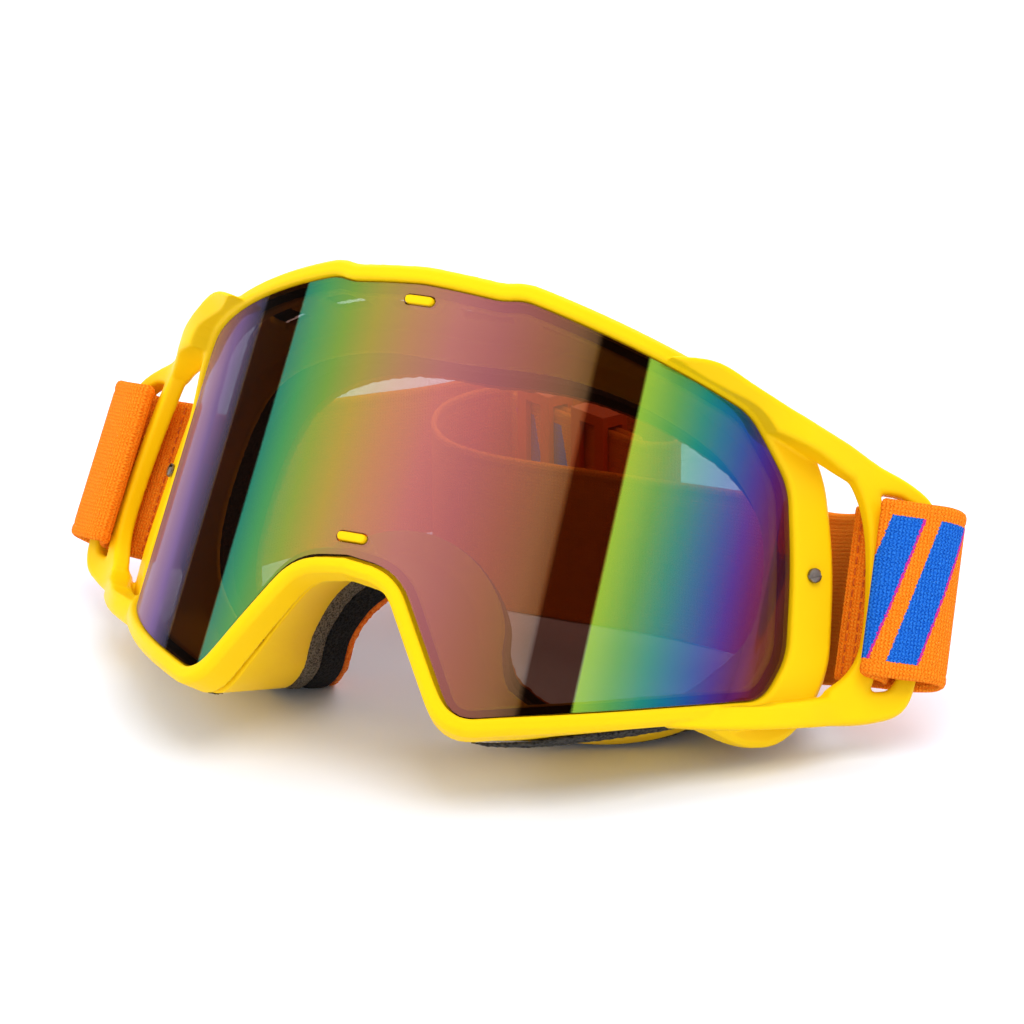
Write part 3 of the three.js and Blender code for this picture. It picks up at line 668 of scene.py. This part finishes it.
def sheet_member(rows, count):
    line = Curve([(arc, height) for arc, height, _, _ in rows])
    size = Curve([(half, back) for _, _, half, back in rows])
    corner = 0.72
    section = [(1, corner), (corner, 1), (-corner, 1), (-1, corner),
               (-1, -corner), (-corner, -1), (corner, -1), (1, -corner)]
    rings = []
    for i in range(count + 1):
        at, along = line.at(i / count), line.tangent(i / count)
        across = vec(-along[1], along[0])
        half, back = size.at(i / count)
        ramp = ARM_RAMP["drop"] * (1 - smooth(at[0], ARM_RAMP["from"], ARM_RAMP["to"]))
        sink = LOWER_SINK["most"] * (1 - smooth(at[0], LOWER_SINK["from"], LOWER_SINK["to"])) * (at[1] < 0)
        outs = [OUTRIGGER_FRONT * d - ramp * (w < 0) if d > 0 else back * d for w, d in section]
        rings.append([on_sheet(at[0] + across[0] * half * w, at[1] + across[1] * half * w, out - sink)
                      for (w, d), out in zip(section, outs)])
    return rings


def edge_heights(arc):
    """Heights of the lens's top and bottom edge at an arc length."""
    widest = max(range(len(HALF)), key=lambda i: HALF[i][0])
    top, low = HALF[:widest + 1], HALF[widest:][::-1]
    return (float(np.interp(arc, [p[0] for p in top], [p[1] for p in top])),
            float(np.interp(arc, [p[0] for p in low], [p[1] for p in low])))


WIDEST = max(p[0] for p in HALF)


def lens_slab(front, back, grow, columns=60):
    rings = []
    reach = WIDEST - 0.02 + grow
    for j in range(-columns, columns + 1):
        arc = reach * math.sin(math.pi / 2 * j / columns)
        top, low = edge_heights(min(abs(arc), reach - grow))
        rings.append([on_wrap(arc, h, out) for h, out in
                      ((top + grow, front), (low - grow, front), (low - grow, back), (top + grow, back))])
    return rings


def make_outer_frame():
    loop, bar = sheet_member(OUTRIGGER_LOOP, 200), sheet_member(OUTRIGGER_BAR, 60)
    arms = [loft(in_world(rings), False) for rings in (loop, bar, mirrored(loop), mirrored(bar))]
    side_arms = fused(merged("side_arms", arms), 0.5, 0)
    pocket = merged("lens_pocket", [loft(in_world(lens_slab(9, -RIM_DEPTH - 4, LENS_GAP + 0.5)), False)])
    cut(side_arms, [pocket])
    rim = [loft(in_world(lens_ring(rim_section)), True)]
    deep = LEDGE_WIDTH - LEDGE_TOP
    for height in PEG["heights"]:
        rim.append(stadium(PEG["length"], PEG["width"], deep, -PEG["proud"], height))
        rim.append(stadium(PEG["length"] + 3, 5.0, 4.3, 2.5, height + math.copysign(2.2, height)))
    data = side_arms.data
    base = [tuple(v.co) for v in data.vertices], [tuple(p.vertices) for p in data.polygons]
    bpy.data.objects.remove(side_arms)
    body = fused(merged("frame_moulding", [*rim, base]), 0.38, 3)
    return finish_piece(body, "yellow", "frame", "frame", "outer_frame")


# ---------------------------------------------------------------- lens
def make_lens():
    columns = 96
    rows = [0, 0.5, 1.0, 1.6, 2.4, 3.4]
    marks = []
    arcs = [(WIDEST - 0.02) * math.sin(math.pi / 2 * j / columns) for j in range(-columns, columns + 1)]
    outline = np.array(LOOP)
    verts, faces, uvs = [], [], []
    for out in (0.0, -LENS_THICKNESS):
        for arc in arcs:
            top, low = edge_heights(abs(arc))
            room = top - low
            inset = [min(r, room * 0.5 * r / rows[-1]) for r in rows]
            heights = [top - r for r in inset]
            heights += [lerp(heights[-1], low + inset[-1], (k + 1) / 15) for k in range(14)]
            heights += [low + r for r in reversed(inset)]
            for h in heights:
                verts.append(world(on_wrap(arc, h, out)))
                gap = float(np.min(np.hypot(outline[:, 0] - arc, outline[:, 1] - h)))
                # u leans with height, so the painted reflection bands slant
                slanted = arc + 0.045 * h * smooth(arc, 0, 40)
                uvs.append(((slanted + ARC_SPAN) / (2 * ARC_SPAN), gap / 10))
    per = len(heights)
    sheet = len(arcs) * per

    def quad(a, b, c, d, kind):
        faces.append((a, b, c, d))
        marks.append(kind)
    for i in range(len(arcs) - 1):
        for j in range(per - 1):
            a = i * per + j
            quad(a, a + 1, a + per + 1, a + per, 0)
            quad(sheet + a, sheet + a + per, sheet + a + per + 1, sheet + a + 1, 1)
        for j in (0, per - 1):
            a = i * per + j
            quad(a, a + per, sheet + a + per, sheet + a, 1)
    for i in (0, len(arcs) - 1):
        for j in range(per - 1):
            a = i * per + j
            quad(a, a + 1, sheet + a + 1, sheet + a, 1)
    obj = new_object("lens_mirror", verts, faces)
    mesh = obj.data
    layer = mesh.uv_layers.new(name="UVMap")
    for poly, kind in zip(mesh.polygons, marks):
        poly.material_index = kind
    for loop in mesh.loops:
        layer.data[loop.index].uv = uvs[loop.vertex_index]
    mesh.materials.append(MATS["mirror"])
    mesh.materials.append(MATS["clear"])
    length, width = PEG["length"] + 2 * LENS_GAP, PEG["width"] + 2 * LENS_GAP
    holes = [merged("peg_slot", [stadium(length, width, 6, -6, h)]) for h in PEG["heights"]]
    cut(obj, holes)
    sharp = obj.modifiers.new("edges", "EDGE_SPLIT")
    sharp.split_angle = math.radians(50)
    apply_modifiers(obj)
    return finish_piece(obj, None, "lens", "lens_mirror", "lens")


def make_seal():
    section = [(-1.75, LEDGE_TOP + CLEAR), (-1.75, -LENS_THICKNESS - CLEAR), (-0.15, -LENS_THICKNESS - CLEAR),
               (-0.15, LEDGE_TOP + CLEAR)]
    obj = merged("lens_seal_strip", [loft(in_world(lens_ring(lambda edge: section)), True)])
    return finish_piece(obj, "seal", "frame", "seal", "lens_seal")


# ---------------------------------------------------------------- face frame and foams
def closed_curve(points):
    points = [np.array(p, float) for p in points]
    return Curve(points + [vec(-p[0], p[1], p[2]) for p in points[-2:0:-1]], True)


FACE_FRONT = closed_curve([on_wrap(arc, height, -RIM_DEPTH - CLEAR - WALL / 2)
                           for arc, height, *_ in FACE_STATIONS])
FACE_REAR = closed_curve([(x, y, z) for _, _, x, y, z in FACE_STATIONS])


def face_at(share):
    front, rear, along = FACE_FRONT.at(share), FACE_REAR.at(share), FACE_REAR.tangent(share)
    out = -unit(np.cross(unit(rear - front), along))
    inwards = unit(np.cross(vec(0, 1, 0), along))
    if inwards @ out > 0:
        inwards = -inwards
    near_lobe = (1 - smooth(abs(rear[0]), 30, 44)) * (1 - smooth(rear[2], -44, -34))
    return front, rear, out, inwards, lerp(FLANGE["wide"], FLANGE["narrow"], near_lobe)


def box_cutter(name, size, turn, centre):
    corners = [vec(x, y, z) * vec(*size) / 2 for x in (-1, 1) for y in (-1, 1) for z in (-1, 1)]
    verts = [world(turn @ c + vec(*centre)) for c in corners]
    faces = [(0, 1, 3, 2), (4, 6, 7, 5), (0, 4, 5, 1), (2, 3, 7, 6), (0, 2, 6, 4), (1, 5, 7, 3)]
    return new_object(name, verts, faces, False)


def make_face_frame():
    rings = []
    count = 420
    for i in range(count):
        front, rear, out, inwards, seat = face_at(i / count)
        lip, step = rear + inwards * seat, vec(0, -WALL, 0)
        rings.append([front + out * WALL / 2, rear, lip, lip + step, rear + inwards * WALL * 1.1 + step,
                      front - out * WALL / 2])
    body = merged("face_moulding", [loft(in_world(rings), True)])
    cutters = []
    for side in (-1, 1):
        a = -side * math.radians(27.5)
        turn = np.array([[math.cos(a), 0, math.sin(a)], [0, 1, 0], [-math.sin(a), 0, math.cos(a)]])
        cutters.append(box_cutter("nose_slot", (7, 6.6, 13.5), turn, (side * 20.2, 9.2, -43.3)))
        for x in (9, 27, 45):
            a = side * math.asin(x / LENS_RADIUS)
            turn = np.array([[math.cos(a), -math.sin(a), 0], [math.sin(a), math.cos(a), 0], [0, 0, 1]])
            cutters.append(box_cutter("window", (11, 7, 16), turn, (side * x, 13.2 + 0.006 * x * x, 30)))
    cut(body, cutters)
    fused(body, 0.42, 3)
    return finish_piece(body, "yellow", "frame", "frame", "face_frame")


def pressed_flat(p):
    height = p[2] * math.cos(LEAN) - p[1] * math.sin(LEAN)
    if height < TABLE:
        p = p + vec(0, 0, (TABLE - height) / math.cos(LEAN))
    return p


def rounded_box(d0, d1, a0, a1, radius, deep, wide):
    """Outline of a rounded rectangle, as depth and across, with fixed counts of points along its sides."""
    points = []
    centres = [(d1 - radius, a1 - radius), (d0 + radius, a1 - radius), (d0 + radius, a0 + radius),
               (d1 - radius, a0 + radius)]
    for corner, (cd, ca) in enumerate(centres):
        start = corner * math.pi / 2
        arc = [(cd + radius * math.cos(a), ca + radius * math.sin(a))
               for a in (start + k * math.pi / 8 for k in range(5))]
        if points:
            points += between(points[-1], arc[0], deep if corner % 2 else wide)
        points += arc
    return points + between(points[-1], points[0], wide)


def between(a, b, count):
    return [(lerp(a[0], b[0], k / count), lerp(a[1], b[1], k / count)) for k in range(1, count)]


def roughened(obj, amplitude, grain, floor=0.0):
    """Moves each vertex along its normal by noise, and keeps what lies on the table above it."""
    mesh = obj.data
    normals = [v.normal.copy() for v in mesh.vertices]
    for v, normal in zip(mesh.vertices, normals):
        lump = noise.noise(v.co / (grain * MM)) + 0.5 * noise.noise(v.co / (grain * 0.45 * MM))
        v.co += normal * lump * amplitude * MM
        v.co.z = max(v.co.z, floor)
    mesh.update()
    return obj


def foam_layer(name, start, depth, inset, radius, bulge, amplitude, grain):
    rings = []
    count = 560
    for i in range(count):
        _, rear, _, inwards, seat = face_at(i / count)
        rise = lerp(FOAM["low_rise"], 0.03, smooth(rear[2], -48, -25))
        inward = -0.2 * np.sign(rear[0]) * smooth(abs(rear[0]), 0, 14)
        lean = unit(vec(inward, 1, rise))
        pinch = NOSE_PINCH["shift"] * smooth(rear[0], -9, 3) * (1 - smooth(rear[0], 14, 24))
        pinch *= 1 - smooth(rear[2], -34, -14)
        outline = rounded_box(start, start + depth, inset, seat - 0.1, radius, 2 + int(depth / 0.8), 11)
        ring = []
        for d, a in outline:
            swell = bulge * math.sin(math.pi * (d - start) / depth)
            a += math.copysign(swell, a - (inset + seat) / 2)
            point = rear + lean * d + inwards * a
            point[0] -= pinch * smooth(d, NOSE_PINCH["from"], NOSE_PINCH["to"])
            ring.append(pressed_flat(point))
        rings.append(ring)
    obj = merged(name, [loft(in_world(rings), True)])
    roughened(obj, amplitude, grain)
    return obj


def make_foams():
    black = FOAM_GAP + FOAM["grey"] + FOAM_GAP
    fleece = black + FOAM["black"] + FOAM_GAP
    layer = foam_layer("brow_foam_open_cell", FOAM_GAP - 0.2, FOAM["grey"] + 0.5, 0.2, 0.7, 0.25, 0.16, 1.1)
    finish_piece(layer, "foam_grey", "frame", "foam_grey", "face_foam_grey")
    layer = foam_layer("brow_foam_fine", black - 0.25, FOAM["black"] + 0.5, 0.6, 1.1, 0.45, 0.09, 1.2)
    finish_piece(layer, "foam_black", "frame", "foam_black", "face_foam_black")
    layer = foam_layer("brow_fleece", fleece - 0.2, FOAM["fleece"] + 0.2, 0.9, 0.85, 0.15, 0.34, 1.5)
    finish_piece(layer, "fleece", "frame", "fleece", "face_fleece")


def make_vent_foam(name, node, start, end, far, thick):
    rings = []
    count = 160
    for i in range(count + 1):
        front, rear, out, _, _ = face_at(lerp(start, end, i / count))
        length = float(np.linalg.norm(rear - front))
        full = smooth(min(i, count - i), 0, 16)  # the strip thins out towards both ends
        deep, high = lerp(0.13, far, full) * length, thick * lerp(0.3, 1, full)
        outline = rounded_box(0.08 * length, deep, CLEAR, CLEAR + high, min(0.45, 0.4 * high), 12, 3)
        along = unit(rear - front)
        rings.append([front + along * d + out * (WALL / 2 + off) for d, off in outline])
    obj = merged(name, [loft(in_world(rings), False)])
    roughened(obj, 0.14, 1.0)
    return finish_piece(obj, "vent", "frame", "vent_foam", node)


# ---------------------------------------------------------------- strap
def on_overlap(along, behind):
    start, end = vec(*OVERLAP["start"]), vec(*OVERLAP["end"])
    way = unit(end - start)
    at = start + way * along + vec(-way[1], way[0]) * behind
    return (at[0], at[1], OVERLAP["foot"])


def front_run():
    return FRONT_RUN + [on_overlap(along, 0) for along in (-4, 0, 6, 12, 24, 36, OVERLAP["tail"])]


def back_run():
    behind = OVERLAP["return"]
    away = [on_overlap(along, behind) for along in (12, 26, 40)]
    turn = [on_overlap(48, behind - 1), on_overlap(53.5, 4), on_overlap(50, -1.2)]
    home = [on_overlap(along, -OVERLAP["spacing"]) for along in (42, 30, 18, 6, 1)]
    return BACK_RUN + away + turn + home


def strap_line(side, run):
    width = unit(vec(side * SHEET_TILT[0], SHEET_TILT[1], 1))
    c, s = math.cos(LEAN), math.sin(LEAN)
    width = unit(vec(width[0], c * width[1] + s * width[2], -s * width[1] + c * width[2]))
    centres = [leaned((side * x, y, STRAP_CENTRE + lift)) for x, y, lift in STRAP_WRAP]
    widths = [width] * len(centres)
    for i, (x, y, foot) in enumerate(run):
        turned = unit(lerp(width, vec(0, 0, 1), smooth(i, -1, 3)))
        centres.append(vec(x, y, foot + STRAP_WIDTH / 2 * turned[2]))
        widths.append(turned)
    return Curve(centres), Curve(widths), len(centres) - 1


def strap_section():
    """Across and face positions round the webbing: thicker hems, and a groove inside each."""
    half = STRAP_WIDTH / 2
    across = [-half + 0.35, -half + 1.1, -half + 2.1, -half + 2.7, -half + 3.4]
    across += list(np.linspace(-half + 5, half - 5, 9))
    across += [half - 3.4, half - 2.7, half - 2.1, half - 1.1, half - 0.35]

    def thick(w):
        hem = half - abs(w)
        return 0.52 if hem < 0.6 else 0.78 if hem < 2.4 else 0.58 if hem < 3 else 0.7
    top = [(w, thick(w)) for w in across]
    low = [(w, -thick(w)) for w in reversed(across)]
    return top + [(half, 0.0)] + low + [(-half, 0.0)], len(top)


def make_webbing(name, node, side, run):
    centre, tilt, spans = strap_line(side, run)
    count = spans * 14
    section, tops = strap_section()
    rings, marks, at_before, along = [], [], None, 0.0
    for i in range(count + 1):
        t = i / count
        at, width = centre.at(t), unit(tilt.at(t))
        face = unit(np.cross(centre.tangent(t), width))
        wave = 0.12 * noise.noise((along * 0.05, side * 3.0, 1.0))
        rings.append([placed(at + width * w + face * (f + wave)) for w, f in section])
        if at_before is not None:
            along += float(np.linalg.norm(at - at_before))
        at_before = at
        marks.append(along)
        if i == round(count * FACING_SPAN / spans):
            outer = face @ vec(0, -math.cos(LEAN), math.sin(LEAN)) > 0
    verts, faces = loft(rings, False)
    obj = new_object(name, verts, faces)
    mesh = obj.data
    size = len(section)
    layer = mesh.uv_layers.new(name="UVMap")
    for loop in mesh.loops:
        ring, place = divmod(loop.vertex_index, size)
        layer.data[loop.index].uv = (marks[ring] / 10, (section[place][0] + STRAP_WIDTH / 2) / 10)
    for poly in mesh.polygons:
        places = [i % size for i in poly.vertices]
        on_top = max(places) < tops
        on_low = min(places) > tops and max(places) < size - 1
        poly.material_index = 1 if len(places) == 4 and (on_top if outer else on_low) else 0
    mesh.materials.append(MATS["knit_plain"])
    mesh.materials.append(MATS["knit_print_left" if side > 0 else "knit_print_right"])
    finish_piece(obj, None, "frame", "webbing", node)
    return obj, marks[-1], (centre, tilt, spans)


def make_stitches(name, line):
    """A double row of thread across the sewn tail, where the webbing is closed round the outrigger."""
    centre, tilt, spans = line
    shells = []
    for share in (0.42, 0.95):
        t = share / spans
        at, width = centre.at(t), unit(tilt.at(t))
        way = centre.tangent(t)
        face = unit(np.cross(way, width))
        for k in range(15):
            for sign in (-1, 1):
                rings = []
                for i in range(9):
                    a = math.pi * i / 8
                    spot = at + width * (-16.8 + k * 2.4 - math.cos(a) * 0.85)
                    spot = spot + face * sign * (0.5 + 0.42 * math.sin(a))
                    rings.append([placed(spot + 0.2 * (way * math.cos(b) + face * math.sin(b)))
                                  for b in (0, 1.05, 2.09, 3.14, 4.19, 5.24)])
                shells.append(loft(rings, False))
    obj = merged(name, shells)
    return finish_piece(obj, "thread", "frame", "webbing")


# ---------------------------------------------------------------- small hard parts
def crisp(node, material, width):
    """Keeps the CAD node, with its edges broken and a real material."""
    obj = NODES[node]
    obj.data.materials.clear()
    obj.data.materials.append(MATS[material])
    bevel = obj.modifiers.new("edges", "BEVEL")
    bevel.width = width * MM
    bevel.segments = 3
    bevel.limit_method = "ANGLE"
    bevel.angle_limit = math.radians(35)


def lathe(profile, foot, axis, across, steps=40):
    """A turned shape: its profile gives radius and height along the axis from the foot."""
    third = np.cross(axis, across)
    rings = []
    for radius, height in profile:
        turns = (2 * math.pi * k / steps for k in range(steps))
        rings.append([world(foot + axis * height + radius * (across * math.cos(a) + third * math.sin(a)))
                      for a in turns])
    return loft(rings, False)


def make_screw(word, side):
    foot = on_wrap(side * SCREW["arc"], SCREW["height"], RIM_CROWN + CLEAR)
    axis = unit(on_wrap(side * SCREW["arc"], SCREW["height"], RIM_CROWN + CLEAR + 1) - foot)
    across = unit(np.cross(vec(0, 0, 1), axis))
    head, shank = SCREW["head"] / 2, SCREW["shank"] / 2
    profile = [(shank, -7.6), (shank, 0), (head, 0), (head, 0.55), (head - 0.06, 0.75), (head - 0.2, 0.9),
               (head - 0.45, 0.99), (0.4, 1.0)]
    obj = merged(f"plate_screw_{word}", [lathe(profile, foot, axis, across)])
    up = np.cross(axis, across)
    a = math.radians(32)
    along, beside = across * math.cos(a) + up * math.sin(a), up * math.cos(a) - across * math.sin(a)
    turn = np.column_stack([along, axis, beside])
    cut(obj, [box_cutter("screw_slot", (4, 1.2, 0.8), turn, foot + axis * 0.95)])
    sharp = obj.modifiers.new("edges", "EDGE_SPLIT")
    sharp.split_angle = math.radians(40)
    apply_modifiers(obj)
    return finish_piece(obj, "steel", "frame", "steel", f"side_screw_{word}")


# ---------------------------------------------------------------- stage and light
def make_stage():
    floor = new_object("floor", [(-6, -6, 0), (6, -6, 0), (6, 6, 0), (-6, 6, 0)], [(0, 1, 2, 3)], False)
    floor.data.materials.append(MATS["floor"])
    world_light = bpy.data.worlds.new("studio")
    world_light.use_nodes = True
    world_light.node_tree.nodes["Background"].inputs["Color"].default_value = (1, 1, 1, 1)
    world_light.node_tree.nodes["Background"].inputs["Strength"].default_value = 0.94
    scene.world = world_light
    for name, place, power, size in (
        ("key_softbox", (0.5, -0.5, 1.5), 11, 1.0),
        ("left_softbox", (-1.1, -0.5, 0.8), 5, 0.8),
        ("back_softbox", (0.2, 1.1, 1.2), 7, 1.0),
    ):
        data = bpy.data.lights.new(name, "AREA")
        data.energy = power
        data.size = size
        light = bpy.data.objects.new(name, data)
        light.location = place
        light.rotation_euler = (Vector((0, 0, 0.03)) - Vector(place)).to_track_quat("-Z", "Y").to_euler()
        light.visible_glossy = False
        scene.collection.objects.link(light)
    scene.view_settings.view_transform = "Standard"


# ---------------------------------------------------------------- assembly
make_camera()
MATS.update({
    "yellow": yellow_plastic(),
    "seal": dark_seal(),
    "vent": open_foam("vent_foam", srgb(20, 20, 20), srgb(74, 72, 70), 0.7, 0.35),
    "foam_grey": open_foam("open_cell_grey", srgb(34, 30, 26), srgb(112, 102, 90), 0.42, 0.35),
    "foam_black": open_foam("fine_black", srgb(6, 6, 7), srgb(40, 39, 40), 0.5, 0.25),
    "fleece": orange_fleece(),
    "steel": steel("screw_steel", srgb(150, 140, 132)),
    "clip": steel("clip_steel", srgb(120, 112, 98)),
    "slider": moulded_orange(),
    "knit_plain": knit("webbing_plain", None),
    "knit_print_left": knit("webbing_print_left", 2.0),
    "knit_print_right": knit("webbing_print_right", 12.5),
    "thread": thread(),
    "mirror": painted_reflection_coat(),
    "clear": clear_back(),
    "floor": pale_floor(),
})
make_stage()
make_outer_frame()
make_lens()
make_seal()
make_face_frame()
make_foams()
make_vent_foam("brow_vent_strip", "top_vent_foam", -0.1, 0.1, 0.46, 1.8)
for word, turned in (("left", lambda share: share), ("right", lambda share: 1 - share)):
    cheek, temple = (turned(0.232), turned(0.33), 0.3, 0.8), (turned(0.186), turned(0.22), 0.9, 1.4)
    make_vent_foam(f"cheek_vent_strip_{word}", f"bottom_vent_foam_{word}", *cheek)
    make_vent_foam(f"temple_vent_strip_{word}", f"side_vent_foam_{word}", *temple)
    make_screw(word, 1 if word == "left" else -1)
    crisp(f"screw_clip_{word}", "clip", 0.2)
for node in ("strap_slider_inner", "strap_slider_outer"):
    crisp(node, "slider", 0.6)
for word, side, run in (("left", 1, front_run()), ("right", -1, back_run())):
    webbing, length, line = make_webbing(f"webbing_{word}", f"strap_webbing_{word}", side, run)
    stitches = make_stitches(f"webbing_stitches_{word}", line)
    print("WEBBING", word, "length_mm", round(length, 1))
